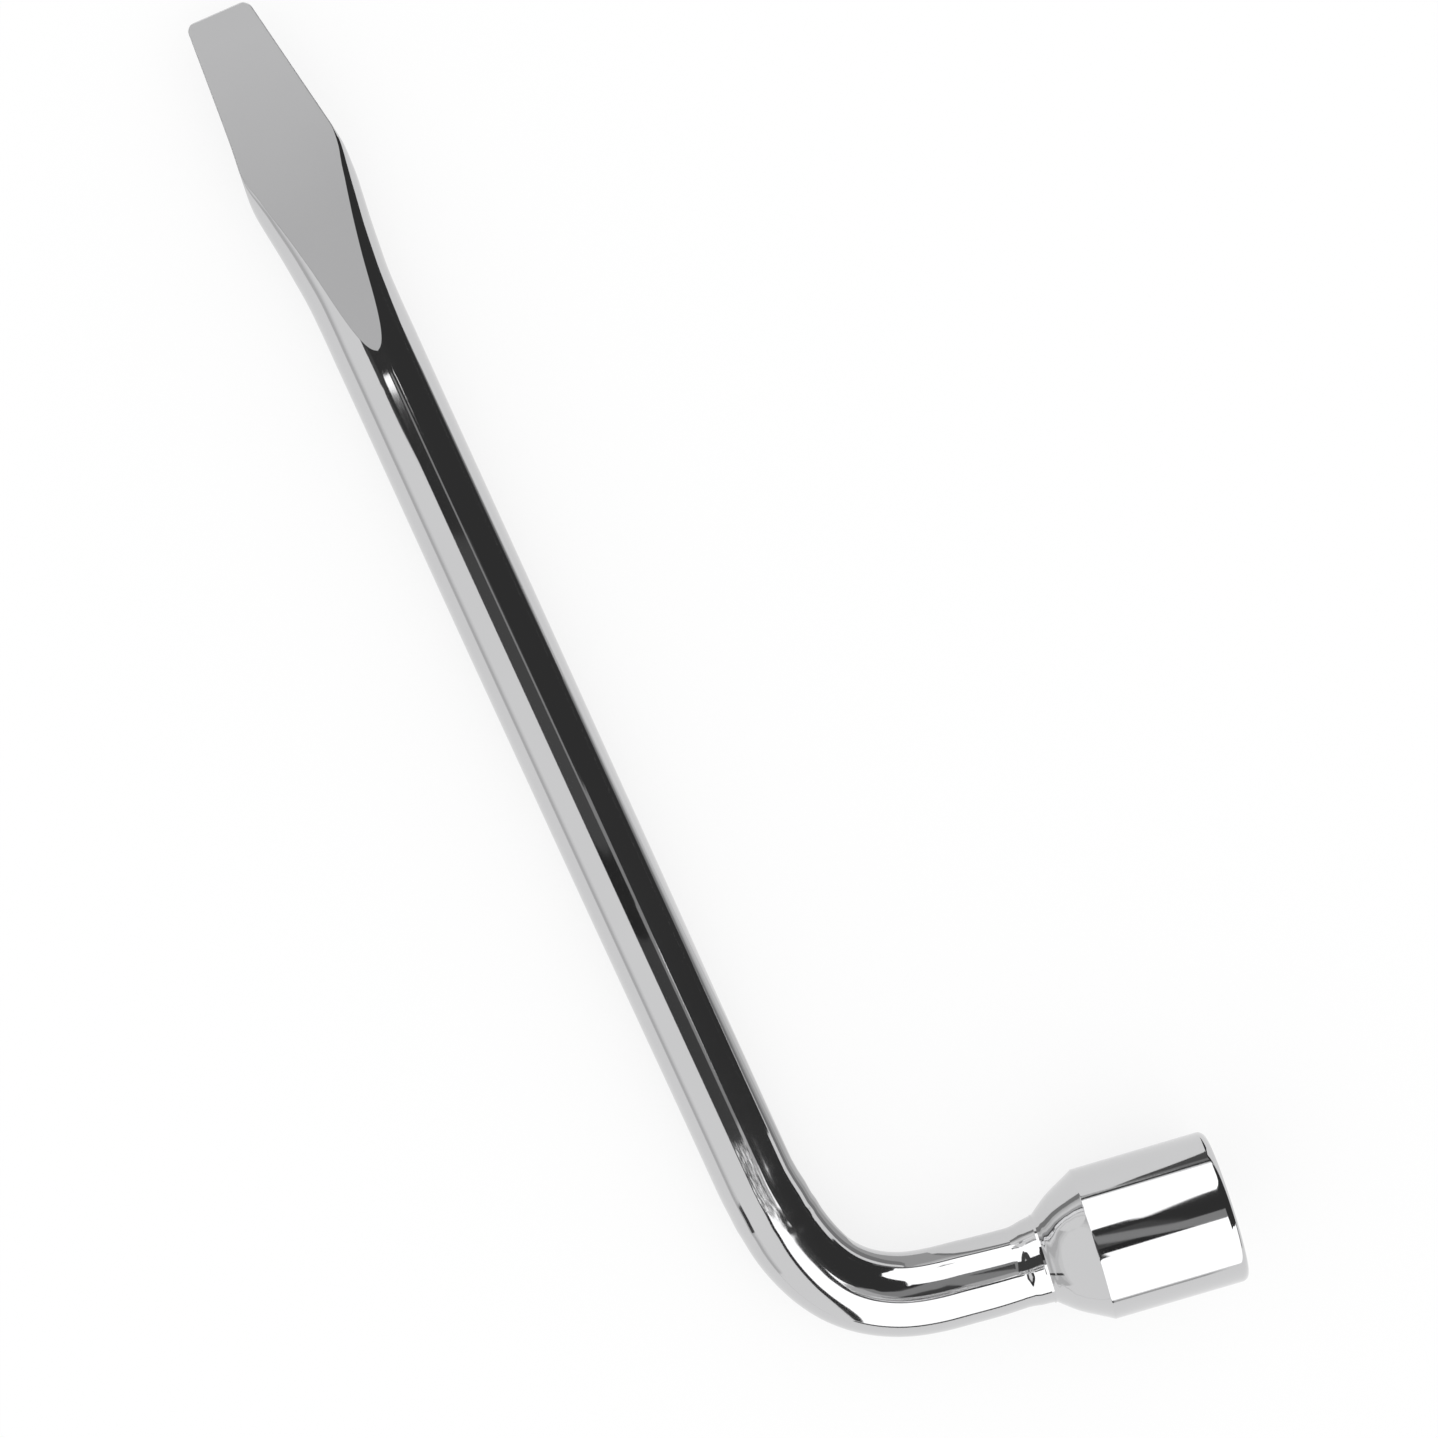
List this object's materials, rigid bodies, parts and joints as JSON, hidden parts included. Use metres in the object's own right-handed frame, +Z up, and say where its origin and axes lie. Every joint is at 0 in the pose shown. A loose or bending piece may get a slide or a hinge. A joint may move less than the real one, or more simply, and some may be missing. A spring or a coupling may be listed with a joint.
{
  "type": "lug wrench",
  "caption": "L-shaped chromed steel wheel wrench: round bent bar, hexagon socket head on the short arm, flat pry blade on the long arm.",
  "frame": {"origin": "middle of the bounding box, on the floor that the wrench rests on", "axes": "+Y along the long arm towards the blade's tip, +X towards the socket's mouth, +Z up from the floor"},
  "size_m": [0.0934, 0.2982, 0.0331],
  "materials": {
    "chrome_plate": "mirror polished"
  },
  "bodies": {
    "root": {"shank": "chrome_plate", "socket_head": "chrome_plate", "neck_weld": "chrome_plate"}
  },
  "joints": []
}
